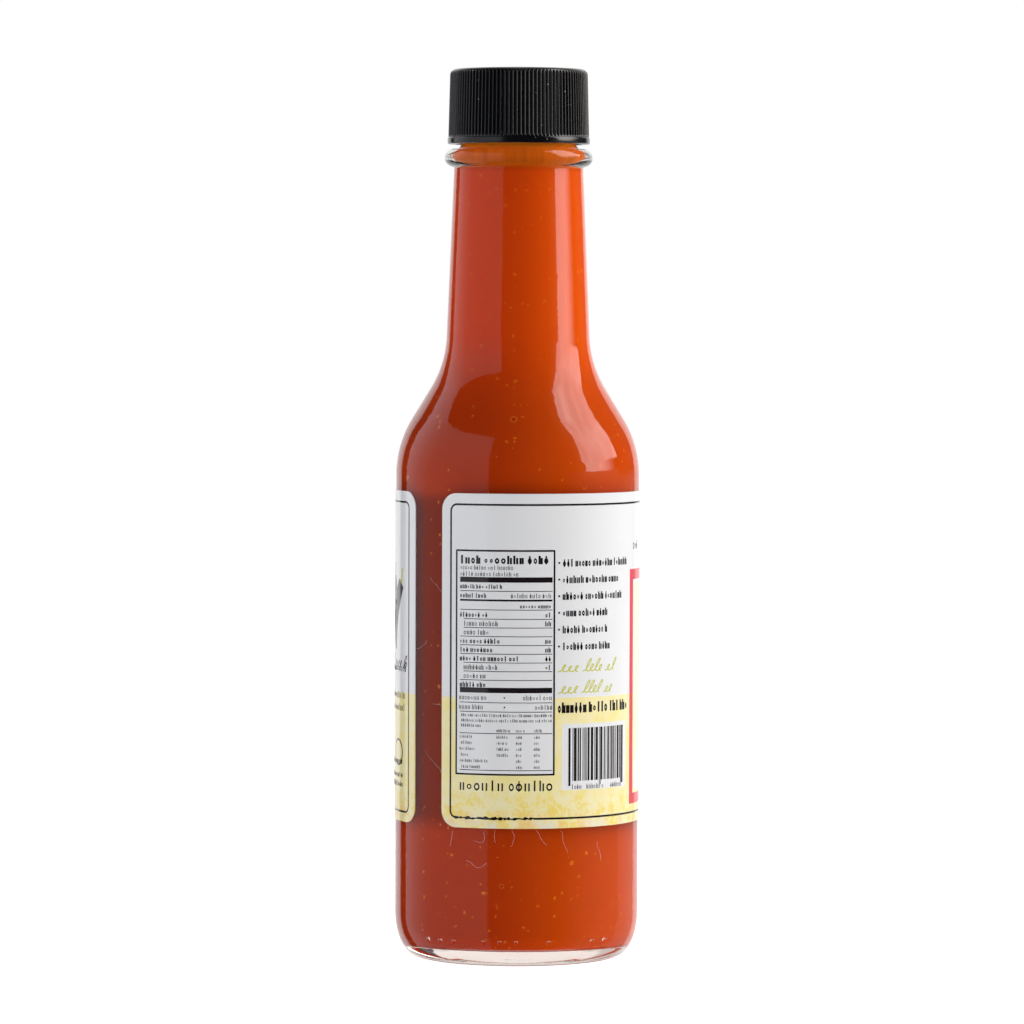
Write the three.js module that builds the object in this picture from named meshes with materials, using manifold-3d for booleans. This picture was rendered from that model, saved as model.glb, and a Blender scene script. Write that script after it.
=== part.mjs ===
// A 148 ml bottle of hot sauce: a clear glass bottle with a round body and a long neck, the sauce that
// fills it, a ribbed black screw cap, and one paper label that wraps the body and leaves a narrow gap.
//
// Millimetres, +Z up. The origin is on the resting plane, under the bottle's axis. The front faces -Y,
// and an angle round the axis is counted from the front towards +X.

import * as THREE from "three";
import { mergeVertices } from "three/addons/utils/BufferGeometryUtils.js";
import Module from "manifold-3d";

const wasm = await Module();
wasm.setup();

const { degToRad } = THREE.MathUtils;

// Glass bottle, outside
const BODY_R = 23.5; // straight body
const FOOT_INNER_R = 16.5; // flat ring that the bottle stands on
const FOOT_OUTER_R = 19.0;
const PUNT_H = 2.6; // rise of the hollow under the base
const HEEL_H = 8.5; // curve from the foot ring to the body
const SHOULDER_Z = 99.0; // where the lines of body and shoulder cone would meet
const SHOULDER_SLOPE = degToRad(31.6); // shoulder cone, from the upright
const SHOULDER_ROUND = 20.5; // body into cone
const THROAT_ROUND = 21.0; // cone into neck
const NECK_TOP_R = 12.44; // neck just under the bead
const NECK_TAPER = 0.0418; // radius lost for each millimetre of height
const BEAD_Z = 154.2; // transfer bead under the cap
const BEAD_HALF_H = 1.85;
const BEAD_R = 14.3;
const FINISH_Z = 157.0; // the finish is the straight mouth that the cap screws over
const FINISH_R = 10.75;
const LIP_Z = 169.4;
const LIP_ROUND = 0.8;

// Glass bottle, inside
const MOUTH_R = 7.35;
const MOUTH_LOW_Z = 158.5;
const BORE_R = 9.2; // bore of the neck at its top
const BORE_Z = 155.5;
const BORE_TAPER = 0.042; // radius gained for each millimetre down the neck
const HOLD_R = 21.3; // inside of the body
const HOLD_TOP_Z = 97.6; // where the lines of hold and inner cone would meet
const HOLD_SLOPE = degToRad(33.0);
const HOLD_ROUND = 18.0;
const BORE_ROUND = 22.0;
const FLOOR_EDGE_Z = 3.2; // floor of the hold at its edge and on the axis
const FLOOR_MID_Z = 5.2;
const FLOOR_ROUND = 2.6;

// Mould-code dots, raised on the heel of both mould halves
const DOT_R = 0.55;
const DOT_Z = 4.8;
const DOT_SLOT = 7.8; // degrees from one place in the code to the next
const DOT_CODE = [-6, -5, -4, -2, -1, 0, 2, 5, 6];

// Sauce
const SAUCE_TOP_Z = 161.0;
const SAUCE_GAP = 0.1; // clearance to the glass

// Cap
const CAP_BASE_Z = 156.8;
const CAP_TOP_Z = 171.3; // on the axis
const CAP_DOME = 0.1;
const FLANGE_R = 13.72; // smooth band at the cap's lower edge
const FLANGE_H = 1.25;
const CAP_WALL_R = 13.57; // over the ribs, at the foot of the wall
const CAP_DRAFT = 0.33; // how much the wall leans in over its height
const CAP_ROUND = 1.1; // top edge
const CAP_BORE_R = 12.3;
const LINER_Z = 169.45; // underside of the top, just above the lip
const RIBS = 108; // with a groove between each two
const GROOVE_DEEP = 0.35;
const GROOVE_TOP_Z = 170.4;
const GROOVE_END = 0.6; // height over which a groove runs out
const GATE_R = 0.6; // stub left by the moulding gate
const GATE_H = 0.2;

// Label
const LABEL_LOW_Z = 26.7;
const LABEL_H = 63.5;
const LABEL_START = -37.1; // degrees; the label runs round from here
const LABEL_SPAN = 341.7;
const LABEL_CORNER = 3.2;
const LABEL_GAP = 0.05; // clearance to the glass
const LABEL_THICK = 0.15;

// Fineness of the solids
const GLASS_SIDES = 48;
const CAP_SIDES = 54;
const LABEL_STEP = 4.5; // degrees
const OUTSIDE_STEPS = 4;
const INSIDE_STEPS = 3;

/** Points [radius, height] of an elliptical arc; angles in degrees from the outward direction. */
function arc(centreR, centreZ, halfR, halfZ, from, to, steps) {
  return Array.from({ length: steps + 1 }, (_, i) => {
    const a = degToRad(from + ((to - from) * i) / steps);
    return [centreR + halfR * Math.cos(a), centreZ + halfZ * Math.sin(a)];
  });
}

/** Points of the arc that rounds the corner b of the outline a, b, c. */
function rounded(a, b, c, radius, steps) {
  const corner = new THREE.Vector2(...b);
  const back = new THREE.Vector2(...a).sub(corner).normalize();
  const onward = new THREE.Vector2(...c).sub(corner).normalize();
  const half = Math.acos(back.dot(onward)) / 2;
  const inward = back.clone().add(onward).normalize();
  const centre = inward.multiplyScalar(radius / Math.sin(half)).add(corner);
  const start = back.multiplyScalar(radius / Math.tan(half)).add(corner).sub(centre);
  const end = onward.multiplyScalar(radius / Math.tan(half)).add(corner).sub(centre);
  const sweep = Math.atan2(start.cross(end), start.dot(end));
  return Array.from({ length: steps + 1 }, (_, i) => {
    const p = start.clone().rotateAround(new THREE.Vector2(), (sweep * i) / steps).add(centre);
    return [p.x, p.y];
  });
}

/** A turned solid about Z, from points [radius, height] that run up its outside. */
function turned(points, sides) {
  const profile = points.map(([r, z]) => new THREE.Vector2(r, z));
  return new THREE.LatheGeometry(profile, sides).rotateX(Math.PI / 2);
}

/** The place at a radius, an angle from the front in degrees, and a height. */
function place(radius, angle, z) {
  const a = degToRad(angle);
  return new THREE.Vector3(radius * Math.sin(a), -radius * Math.cos(a), z);
}

function toManifold(geometry) {
  const bare = geometry.clone();
  bare.deleteAttribute("normal");
  bare.deleteAttribute("uv");
  const merged = mergeVertices(bare, 1e-4);
  return new wasm.Manifold(
    new wasm.Mesh({
      numProp: 3,
      vertProperties: new Float32Array(merged.attributes.position.array),
      triVerts: new Uint32Array(closedTriangles(merged)),
    }),
  );
}

/** The triangles of a merged geometry without those that shrank to a line on the axis. */
function closedTriangles(geometry) {
  const index = geometry.index.array;
  const kept = [];
  for (let i = 0; i < index.length; i += 3) {
    const [a, b, c] = index.slice(i, i + 3);
    if (a !== b && b !== c && c !== a) kept.push(a, b, c);
  }
  return kept;
}

function fromManifold(solid) {
  const mesh = solid.getMesh();
  const geometry = new THREE.BufferGeometry();
  geometry.setAttribute("position", new THREE.BufferAttribute(mesh.vertProperties, 3));
  geometry.setIndex(new THREE.BufferAttribute(mesh.triVerts, 1));
  geometry.computeVertexNormals();
  return geometry;
}

/** One solid from a main geometry, less the small ones cut out of it, with those that stand on it. */
function worked(main, cuts, additions) {
  const cut = cuts.reduce((whole, tool) => whole.subtract(toManifold(tool)), toManifold(main));
  return fromManifold(additions.reduce((whole, piece) => whole.add(toManifold(piece)), cut));
}

/** Where the cone meets the straight line r = topR + taper * (topZ - z) above it. */
function coneMeets(baseR, baseZ, slope, topR, topZ, taper) {
  const lean = Math.tan(slope);
  const z = (baseR + lean * baseZ - topR - taper * topZ) / (lean - taper);
  return [topR + taper * (topZ - z), z];
}

/** The bottle's outside, from the axis under the base up to the outer edge of the lip. */
function glassOutside() {
  const heelTop = [BODY_R, HEEL_H];
  const shoulder = [BODY_R, SHOULDER_Z];
  const beadLowZ = BEAD_Z - BEAD_HALF_H;
  const neckTop = [NECK_TOP_R, beadLowZ];
  const throat = coneMeets(BODY_R, SHOULDER_Z, SHOULDER_SLOPE, NECK_TOP_R, beadLowZ, NECK_TAPER);
  const puntEdge = [0.75 * FOOT_INNER_R, 0.44 * PUNT_H]; // the punt is a shallow dome
  return [
    [0, PUNT_H],
    [0.4 * FOOT_INNER_R, 0.84 * PUNT_H],
    puntEdge,
    [FOOT_INNER_R, 0],
    ...arc(FOOT_OUTER_R, HEEL_H, BODY_R - FOOT_OUTER_R, HEEL_H, -90, 0, OUTSIDE_STEPS),
    ...rounded(heelTop, shoulder, throat, SHOULDER_ROUND, OUTSIDE_STEPS),
    ...rounded(shoulder, throat, neckTop, THROAT_ROUND, OUTSIDE_STEPS),
    ...arc(NECK_TOP_R, BEAD_Z, BEAD_R - NECK_TOP_R, BEAD_HALF_H, -90, 65, OUTSIDE_STEPS),
    [FINISH_R + LIP_ROUND, BEAD_Z + BEAD_HALF_H],
    [FINISH_R, FINISH_Z],
    ...arc(FINISH_R - LIP_ROUND, LIP_Z - LIP_ROUND, LIP_ROUND, LIP_ROUND, 0, 90, 2),
  ];
}

/** The bottle's inside from the mouth down to the axis, moved in by a clearance. */
function glassInside(mouthZ, clearance = 0) {
  const mouthR = MOUTH_R - clearance;
  const boreTop = [BORE_R - clearance, BORE_Z];
  const holdR = HOLD_R - clearance;
  const hold = [holdR, HOLD_TOP_Z];
  const throat = coneMeets(holdR, HOLD_TOP_Z, HOLD_SLOPE, boreTop[0], BORE_Z, BORE_TAPER);
  const floorEdge = [holdR, FLOOR_EDGE_Z + clearance];
  const floorMid = [0, FLOOR_MID_Z + clearance];
  const floorRise = [HOLD_R / 2, FLOOR_MID_Z - 0.35 * (FLOOR_MID_Z - FLOOR_EDGE_Z) + clearance];
  return [
    [mouthR, mouthZ],
    [mouthR, MOUTH_LOW_Z],
    boreTop,
    ...rounded(boreTop, throat, hold, BORE_ROUND, INSIDE_STEPS),
    ...rounded(throat, hold, floorEdge, HOLD_ROUND, INSIDE_STEPS),
    ...rounded(hold, floorEdge, floorRise, FLOOR_ROUND, INSIDE_STEPS),
    floorRise,
    floorMid,
  ];
}

/** The heel's radius at the height of the code dots. */
function heelRadius(z) {
  const share = (HEEL_H - z) / HEEL_H;
  return FOOT_OUTER_R + (BODY_R - FOOT_OUTER_R) * Math.sqrt(1 - share * share);
}

function codeDots() {
  const centreR = heelRadius(DOT_Z) - 0.25 * DOT_R; // a quarter of the dot is sunk in the glass
  return [0, 180].flatMap((half) =>
    DOT_CODE.map((slot) => {
      const { x, y, z } = place(centreR, half + slot * DOT_SLOT, DOT_Z);
      return new THREE.SphereGeometry(DOT_R, 6, 4).rotateX(Math.PI / 2).translate(x, y, z);
    }),
  );
}

function glassGeometry() {
  return worked(turned([...glassOutside(), ...glassInside(LIP_Z)], GLASS_SIDES), [], codeDots());
}

function sauceGeometry() {
  return turned([...glassInside(SAUCE_TOP_Z, SAUCE_GAP).reverse(), [0, SAUCE_TOP_Z]], GLASS_SIDES);
}

/** The plain cap: a cup with a smooth lower band, a slightly leaning wall and a domed top. */
function capCup() {
  const wallTopR = CAP_WALL_R - CAP_DRAFT;
  const flangeTop = CAP_BASE_Z + FLANGE_H;
  const rimZ = CAP_TOP_Z - CAP_DOME;
  return turned(
    [
      [0, LINER_Z],
      [CAP_BORE_R, LINER_Z],
      [CAP_BORE_R, CAP_BASE_Z],
      [FLANGE_R, CAP_BASE_Z],
      [FLANGE_R, flangeTop],
      [CAP_WALL_R, flangeTop],
      ...arc(wallTopR - CAP_ROUND, rimZ - CAP_ROUND, CAP_ROUND, CAP_ROUND, 0, 90, 4),
      [wallTopR / 2, rimZ + 0.75 * CAP_DOME],
      [0, CAP_TOP_Z],
    ],
    CAP_SIDES,
  );
}

/** The grooves: square bars on edge that lean with the wall and come to a point at the top. */
function capGrooves() {
  const low = CAP_BASE_Z + FLANGE_H;
  const height = GROOVE_TOP_Z - low;
  const lean = Math.atan(CAP_DRAFT / height);
  const bar = [
    [0, 0],
    [GROOVE_DEEP, 0],
    [GROOVE_DEEP, height - GROOVE_END],
    [0, height],
  ];
  return Array.from({ length: RIBS }, (_, i) => {
    const angle = ((i + 0.5) * 360) / RIBS;
    const { x, y, z } = place(CAP_WALL_R, angle, low);
    return turned(bar, 4).rotateX(-lean).rotateZ(degToRad(angle)).translate(x, y, z);
  });
}

function gateStub() {
  const sunk = 0.2;
  return new THREE.CylinderGeometry(0.8 * GATE_R, GATE_R, GATE_H + sunk, 8)
    .rotateX(Math.PI / 2)
    .translate(0, 0, CAP_TOP_Z + (GATE_H - sunk) / 2);
}

/** How far the label's end is cut back in height, at a distance from that end. */
function cornerCut(fromEnd) {
  const into = Math.max(LABEL_CORNER - fromEnd, 0);
  return LABEL_CORNER - Math.sqrt(LABEL_CORNER * LABEL_CORNER - into * into);
}

/** The label: a curved strip with rounded corners, built of columns side by side. */
function labelGeometry() {
  const innerR = BODY_R + LABEL_GAP;
  const outerR = innerR + LABEL_THICK;
  const cornerSpan = (LABEL_CORNER / outerR) * (180 / Math.PI);
  const cornerSteps = Array.from({ length: 5 }, (_, i) => cornerSpan * (1 - Math.cos(degToRad(20 * i))));
  const columns = Math.round((LABEL_SPAN - 2 * cornerSpan) / LABEL_STEP);
  const middle = Array.from(
    { length: columns + 1 },
    (_, i) => cornerSpan + ((LABEL_SPAN - 2 * cornerSpan) * i) / columns,
  );
  const turns = [...cornerSteps, ...middle, ...cornerSteps.map((s) => LABEL_SPAN - s).reverse()];
  const vertices = turns.flatMap((turn) => {
    const fromEnd = degToRad(Math.min(turn, LABEL_SPAN - turn)) * outerR;
    const low = LABEL_LOW_Z + cornerCut(fromEnd);
    const high = LABEL_LOW_Z + LABEL_H - cornerCut(fromEnd);
    const angle = LABEL_START + turn;
    return [
      place(outerR, angle, low),
      place(outerR, angle, high),
      place(innerR, angle, high),
      place(innerR, angle, low),
    ];
  });
  const faces = [0, 1, 2, 0, 2, 3];
  for (let column = 0; column < turns.length - 1; column += 1) {
    for (let side = 0; side < 4; side += 1) {
      const a = 4 * column + side;
      const b = 4 * column + ((side + 1) % 4);
      faces.push(a, a + 4, b + 4, a, b + 4, b);
    }
  }
  const last = vertices.length - 4;
  faces.push(last, last + 2, last + 1, last, last + 3, last + 2);
  const geometry = new THREE.BufferGeometry().setFromPoints(vertices).setIndex(faces);
  geometry.computeVertexNormals();
  return geometry;
}

/** A named mesh in a plain standard material. */
function piece(name, geometry, color, roughness, extra = {}) {
  const material = new THREE.MeshStandardMaterial({ color, roughness, metalness: 0, ...extra });
  const mesh = new THREE.Mesh(geometry, material);
  mesh.name = name;
  return mesh;
}

const bottle = new THREE.Group();
bottle.add(
  piece("bottle_glass", glassGeometry(), 0xe4ebe8, 0.05, { transparent: true, opacity: 0.3 }),
  piece("sauce", sauceGeometry(), 0xb83c10, 0.4),
  piece("cap", worked(capCup(), capGrooves(), [gateStub()]), 0x17181a, 0.45),
  piece("label", labelGeometry(), 0xeceae2, 0.6),
);

export default bottle;
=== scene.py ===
# A bottle of hot sauce: clear glass, thick orange-red sauce, a ribbed black screw cap and a wrap
# label. Sizes are millimetres and turn into metres as each mesh is made. The front faces -Y, and an
# angle round the bottle is counted in degrees from the front towards +X.

import math
import random

import bmesh
import bpy
import numpy as np
from mathutils import Matrix


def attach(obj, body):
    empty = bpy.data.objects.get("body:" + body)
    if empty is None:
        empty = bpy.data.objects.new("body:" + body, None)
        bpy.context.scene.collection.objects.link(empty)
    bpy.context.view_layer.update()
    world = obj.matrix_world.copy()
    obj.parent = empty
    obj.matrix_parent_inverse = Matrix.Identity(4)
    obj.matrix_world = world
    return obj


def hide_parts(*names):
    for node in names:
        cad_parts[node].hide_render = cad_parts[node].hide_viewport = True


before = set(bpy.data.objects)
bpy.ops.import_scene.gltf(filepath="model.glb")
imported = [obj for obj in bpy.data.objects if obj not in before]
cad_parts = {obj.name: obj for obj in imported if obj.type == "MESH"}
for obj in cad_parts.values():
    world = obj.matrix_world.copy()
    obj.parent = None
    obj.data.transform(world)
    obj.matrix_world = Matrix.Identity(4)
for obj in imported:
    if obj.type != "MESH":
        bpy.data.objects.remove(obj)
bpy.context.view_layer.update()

MM = 0.001

# Glass bottle. Clear soda-lime glass, blown in a two-part mould: a hollow base on a stippled foot
# ring, a straight body, a cone shoulder, a long neck and a round transfer bead under the finish.
# Made as one turned shell with its inside; the code dots and the foot's stipples are fused to it.

BODY_R = 23.5
PUNT_H = 2.6
FOOT_INNER_R = 16.5
FOOT_OUTER_R = 19.0
HEEL_H = 8.5
SHOULDER_Z = 99.0
SHOULDER_LEAN = math.tan(math.radians(31.6))
SHOULDER_ROUND = 20.5
THROAT_ROUND = 21.0
NECK_TOP_R = 12.44
NECK_TAPER = 0.0418
BEAD_Z = 154.2
BEAD_HALF_H = 1.85
BEAD_R = 14.3
FINISH_R = 10.75
FINISH_Z = 157.0
LIP_Z = 169.4
MOUTH_R = 7.35
MOUTH_LOW_Z = 158.5
BORE_R = 9.2
BORE_Z = 155.5
BORE_TAPER = 0.042
BORE_ROUND = 22.0
HOLD_R = 21.3
HOLD_TOP_Z = 97.6
HOLD_LEAN = math.tan(math.radians(33.0))
HOLD_ROUND = 18.0
FLOOR_EDGE_Z = 3.2
FLOOR_MID_Z = 5.2
FLOOR_ROUND = 2.6


def ellipse_arc(centre, half, start, end, steps):
    """Points [radius, height] on part of an ellipse, by angles in degrees from outwards."""
    turns = np.radians(np.linspace(start, end, steps + 1))
    return [[centre[0] + half[0] * math.cos(a), centre[1] + half[1] * math.sin(a)] for a in turns]


def rounded(corners, step=4.0):
    """An outline of [radius, height, rounding] corners, with an arc where there is a rounding."""
    points = []
    for i, (x, y, radius) in enumerate(corners):
        here = np.array([x, y])
        if not radius:
            points.append([x, y])
            continue
        back = np.array(corners[i - 1][:2]) - here
        onward = np.array(corners[i + 1][:2]) - here
        back /= np.linalg.norm(back)
        onward /= np.linalg.norm(onward)
        half = math.acos(float(np.clip(back @ onward, -1, 1))) / 2
        inward = (back + onward) / np.linalg.norm(back + onward)
        centre = here + inward * radius / math.sin(half)
        first = here + back * radius / math.tan(half) - centre
        last = here + onward * radius / math.tan(half) - centre
        sweep = math.atan2(first[0] * last[1] - first[1] * last[0], first @ last)
        count = max(2, math.ceil(abs(math.degrees(sweep)) / step))
        for k in range(count + 1):
            turn = sweep * k / count
            spoke = [
                first[0] * math.cos(turn) - first[1] * math.sin(turn),
                first[0] * math.sin(turn) + first[1] * math.cos(turn),
            ]
            points.append([centre[0] + spoke[0], centre[1] + spoke[1]])
    return points


def cone_meets(base_r, base_z, lean, top_r, top_z, taper):
    """Where a cone that narrows upwards meets the line of the neck above it."""
    z = (base_r + lean * base_z - top_r - taper * top_z) / (lean - taper)
    return [top_r + taper * (top_z - z), z]


def divided(a, b, parts):
    """Points that divide the line from a to b evenly: a itself, and none at b."""
    return [
        [a[0] + (b[0] - a[0]) * k / parts, a[1] + (b[1] - a[1]) * k / parts] for k in range(parts)
    ]


def filled(points, longest=3.0):
    """The same outline with points added so that no straight stretch is longer than that."""
    dense = []
    for a, b in zip(points, points[1:]):
        dense += divided(a, b, max(1, math.ceil(math.dist(a, b) / longest)))
    return dense + [points[-1]]


def heel_radius(z):
    """The outer radius at a height on the heel, which is a quarter of an ellipse."""
    share = (HEEL_H - z) / HEEL_H
    return FOOT_OUTER_R + (BODY_R - FOOT_OUTER_R) * math.sqrt(1 - share * share)


def glass_outside():
    bead_low = BEAD_Z - BEAD_HALF_H
    throat = cone_meets(BODY_R, SHOULDER_Z, SHOULDER_LEAN, NECK_TOP_R, bead_low, NECK_TAPER)
    punt_r = np.linspace(0, 0.94 * FOOT_INNER_R, 12)
    punt = [[r, PUNT_H * (1 - (r / FOOT_INNER_R) ** 2)] for r in punt_r]
    foot = rounded([punt[-1] + [0], [FOOT_INNER_R, 0, 0.5], [FOOT_OUTER_R, 0, 0]])
    heel = ellipse_arc([FOOT_OUTER_R, HEEL_H], [BODY_R - FOOT_OUTER_R, HEEL_H], -90, 0, 18)
    side = rounded(
        [
            [BODY_R, HEEL_H, 0],
            [BODY_R, SHOULDER_Z, SHOULDER_ROUND],
            throat + [THROAT_ROUND],
            [NECK_TOP_R + NECK_TAPER, bead_low - 1, 0],
            [NECK_TOP_R, bead_low + 0.15, 0.5],
            [BEAD_R - 0.6, bead_low + 0.15, 0],
        ],
        step=2.5,
    )
    bead = ellipse_arc([BEAD_R - 2, BEAD_Z], [2, BEAD_HALF_H], -70, 62, 22)
    finish = rounded(
        [
            bead[-1] + [0],
            [FINISH_R + 0.9, BEAD_Z + BEAD_HALF_H - 0.1, 0.5],
            [FINISH_R, FINISH_Z, 0.6],
            [FINISH_R, LIP_Z, 0.8],
            [MOUTH_R, LIP_Z, 0.8],
            [MOUTH_R, MOUTH_LOW_Z, 0],
        ],
        step=12,
    )
    return punt[:-1] + foot + heel[1:] + side[:-1] + bead + finish[1:-1]


def glass_inside(sink=0.0):
    """From the mouth down to the middle of the floor, moved out into the wall by a small distance."""
    mouth_r = MOUTH_R + sink
    bore_r = BORE_R + sink
    hold_r = HOLD_R + sink
    throat = cone_meets(hold_r, HOLD_TOP_Z, HOLD_LEAN, bore_r, BORE_Z, BORE_TAPER)
    floor_rise = [HOLD_R / 2, FLOOR_MID_Z - 0.35 * (FLOOR_MID_Z - FLOOR_EDGE_Z) - sink]
    return rounded(
        [
            [mouth_r, MOUTH_LOW_Z + 3, 0],
            [mouth_r, MOUTH_LOW_Z, 1],
            [bore_r, BORE_Z, 3],
            throat + [BORE_ROUND],
            [hold_r, HOLD_TOP_Z, HOLD_ROUND],
            [hold_r, FLOOR_EDGE_Z - sink, FLOOR_ROUND],
            floor_rise + [30],
            [0, FLOOR_MID_Z - sink, 0],
        ]
    )


def linked(name, mesh):
    thing = bpy.data.objects.new(name, mesh)
    bpy.context.scene.collection.objects.link(thing)
    return thing


def mesh_object(name, vertices, faces, edges=()):
    """An object at the origin from points in millimetres."""
    mesh = bpy.data.meshes.new(name)
    mesh.from_pydata([[c * MM for c in v] for v in vertices], edges, faces)
    mesh.update()
    return linked(name, mesh)


def smooth(thing, angle=35):
    """Smooth shading, with an edge left sharp where the faces turn by more than the angle."""
    thing.data.shade_smooth()
    thing.data.set_sharp_from_angle(angle=math.radians(angle))
    return thing


def turned(name, outline, sides):
    """A closed turned shell from an outline that runs from axis to axis, up the outside."""
    vertices = [[0, 0, outline[0][1]], [0, 0, outline[-1][1]]]
    rings = []
    for r, z in outline[1:-1]:
        rings.append(len(vertices))
        vertices += [
            [r * math.sin(2 * math.pi * k / sides), -r * math.cos(2 * math.pi * k / sides), z]
            for k in range(sides)
        ]
    faces = []
    for k in range(sides):
        after = (k + 1) % sides
        faces.append([0, rings[0] + after, rings[0] + k])
        faces.append([1, rings[-1] + k, rings[-1] + after])
        faces += [[a + k, a + after, b + after, b + k] for a, b in zip(rings, rings[1:])]
    return mesh_object(name, vertices, faces)


def place(radius, angle, z):
    """The point at a radius, an angle in degrees and a height."""
    a = math.radians(angle)
    return [radius * math.sin(a), -radius * math.cos(a), z]


class Wire:
    """A socket of a node tree that sums work on: 1 - mask * 2 adds its Math nodes."""

    def __init__(self, tree, socket):
        self.tree = tree
        self.socket = socket

    def math(self, operation, *values):
        node = self.tree.nodes.new("ShaderNodeMath")
        node.operation = operation
        for socket, value in zip(node.inputs, values):
            join(self.tree, socket, value)
        return Wire(self.tree, node.outputs[0])

    def __add__(self, other):
        return self.math("ADD", self, other)

    def __sub__(self, other):
        return self.math("SUBTRACT", self, other)

    def __rsub__(self, other):
        return self.math("SUBTRACT", other, self)

    def __mul__(self, other):
        return self.math("MULTIPLY", self, other)

    def __truediv__(self, other):
        return self.math("DIVIDE", self, other)

    def __lt__(self, other):
        return self.math("LESS_THAN", self, other)

    def __gt__(self, other):
        return self.math("GREATER_THAN", self, other)

    def ramp(self, low, high):
        """0 at low, 1 at high, with soft ends."""
        node = self.tree.nodes.new("ShaderNodeMapRange")
        node.interpolation_type = "SMOOTHSTEP"
        for name, value in {"Value": self, "From Min": low, "From Max": high}.items():
            join(self.tree, node.inputs[name], value)
        return Wire(self.tree, node.outputs[0])

    __radd__ = __add__
    __rmul__ = __mul__


def join(tree, socket, value):
    """Links a wire to a socket, or sets the socket's own value."""
    if isinstance(value, Wire):
        tree.links.new(value.socket, socket)
    elif isinstance(value, tuple) and len(value) == 3 and socket.type == "RGBA":
        socket.default_value = (*value, 1)
    else:
        socket.default_value = value


class Tree:
    """A node tree, with one method that adds any node."""

    def __init__(self, tree):
        self.tree = tree

    def node(self, kind, settings=None, sockets=None, output=0):
        """A node: its settings first, then its sockets by name or number."""
        node = self.tree.nodes.new(kind)
        for key, value in (settings or {}).items():
            setattr(node, key, value)
        for key, value in (sockets or {}).items():
            join(self.tree, node.inputs[key], value)
        return Wire(self.tree, node.outputs[output])

    def path(self, kind):
        """1 for rays of a kind, such as Is Camera Ray."""
        return self.node("ShaderNodeLightPath", output=kind)

    def mix(self, share, a, b):
        return self.node("ShaderNodeMix", {"data_type": "RGBA"}, {0: share, 6: a, 7: b}, 2)


class Finish(Tree):
    """A material: a tree with one Principled shader whose sockets are set from values or wires."""

    def __init__(self, name):
        self.material = bpy.data.materials.new(name)
        self.material.use_nodes = True
        super().__init__(self.material.node_tree)
        self.shader = self.tree.nodes["Principled BSDF"]

    def set(self, **sockets):
        for name, value in sockets.items():
            join(self.tree, self.shader.inputs[name.replace("_", " ")], value)
        return self

    def surface(self, wire):
        join(self.tree, self.tree.nodes["Material Output"].inputs["Surface"], wire)

    def spot(self):
        """The object's own coordinates in millimetres, as a vector and as x, y and z."""
        spot = self.node("ShaderNodeTexCoord", output="Object")
        spot = self.node("ShaderNodeVectorMath", {"operation": "SCALE"}, {0: spot, "Scale": 1 / MM})
        parts = self.tree.nodes.new("ShaderNodeSeparateXYZ")
        join(self.tree, parts.inputs[0], spot)
        return spot, *(Wire(self.tree, s) for s in parts.outputs)

    def noise(self, vector, size, detail=3.0, rough=0.55):
        sockets = {"Vector": vector, "Scale": 1 / size, "Detail": detail, "Roughness": rough}
        return self.node("ShaderNodeTexNoise", None, sockets)

    def specks(self, vector, spacing, size, share):
        """1 inside round specks: about so far apart, up to so large, in that share of the cells."""
        voronoi = self.tree.nodes.new("ShaderNodeTexVoronoi")
        join(self.tree, voronoi.inputs["Vector"], vector)
        voronoi.inputs["Scale"].default_value = 1 / spacing
        colour = Wire(self.tree, voronoi.outputs["Color"])
        distance = Wire(self.tree, voronoi.outputs["Distance"])
        chance = self.node("ShaderNodeSeparateColor", None, {0: colour})
        reach = (chance - (1 - share)) / share * (size / spacing)
        return 1 - (distance / (reach.math("MAXIMUM", reach, 0.0001))).ramp(0.6, 1.0)

    def bump(self, height, depth):
        """A normal from a height of 0 to 1 that stands for a depth in millimetres."""
        return self.node("ShaderNodeBump", None, {"Height": height, "Distance": depth * MM})


def srgb(red, green, blue):
    """A linear colour from the 0 to 255 values of a picture."""

    def linear(value):
        value /= 255
        return value / 12.92 if value <= 0.04045 else ((value + 0.055) / 1.055) ** 2.4

    return linear(red), linear(green), linear(blue)


def settle(thing, finish, slot, *nodes):
    """Gives a finished piece its material and its body, and hides the nodes that it stands for. The
    slot is not used.
    """
    thing.data.materials.clear()
    thing.data.materials.append(finish.material)
    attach(thing, "root")
    if nodes:
        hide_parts(*nodes)
    return thing


def plain(thing):
    """The object with its modifiers worked into its mesh."""
    seen = thing.evaluated_get(bpy.context.evaluated_depsgraph_get())
    mesh = bpy.data.meshes.new_from_object(seen)
    thing.modifiers.clear()
    thing.data = mesh
    return thing


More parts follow.
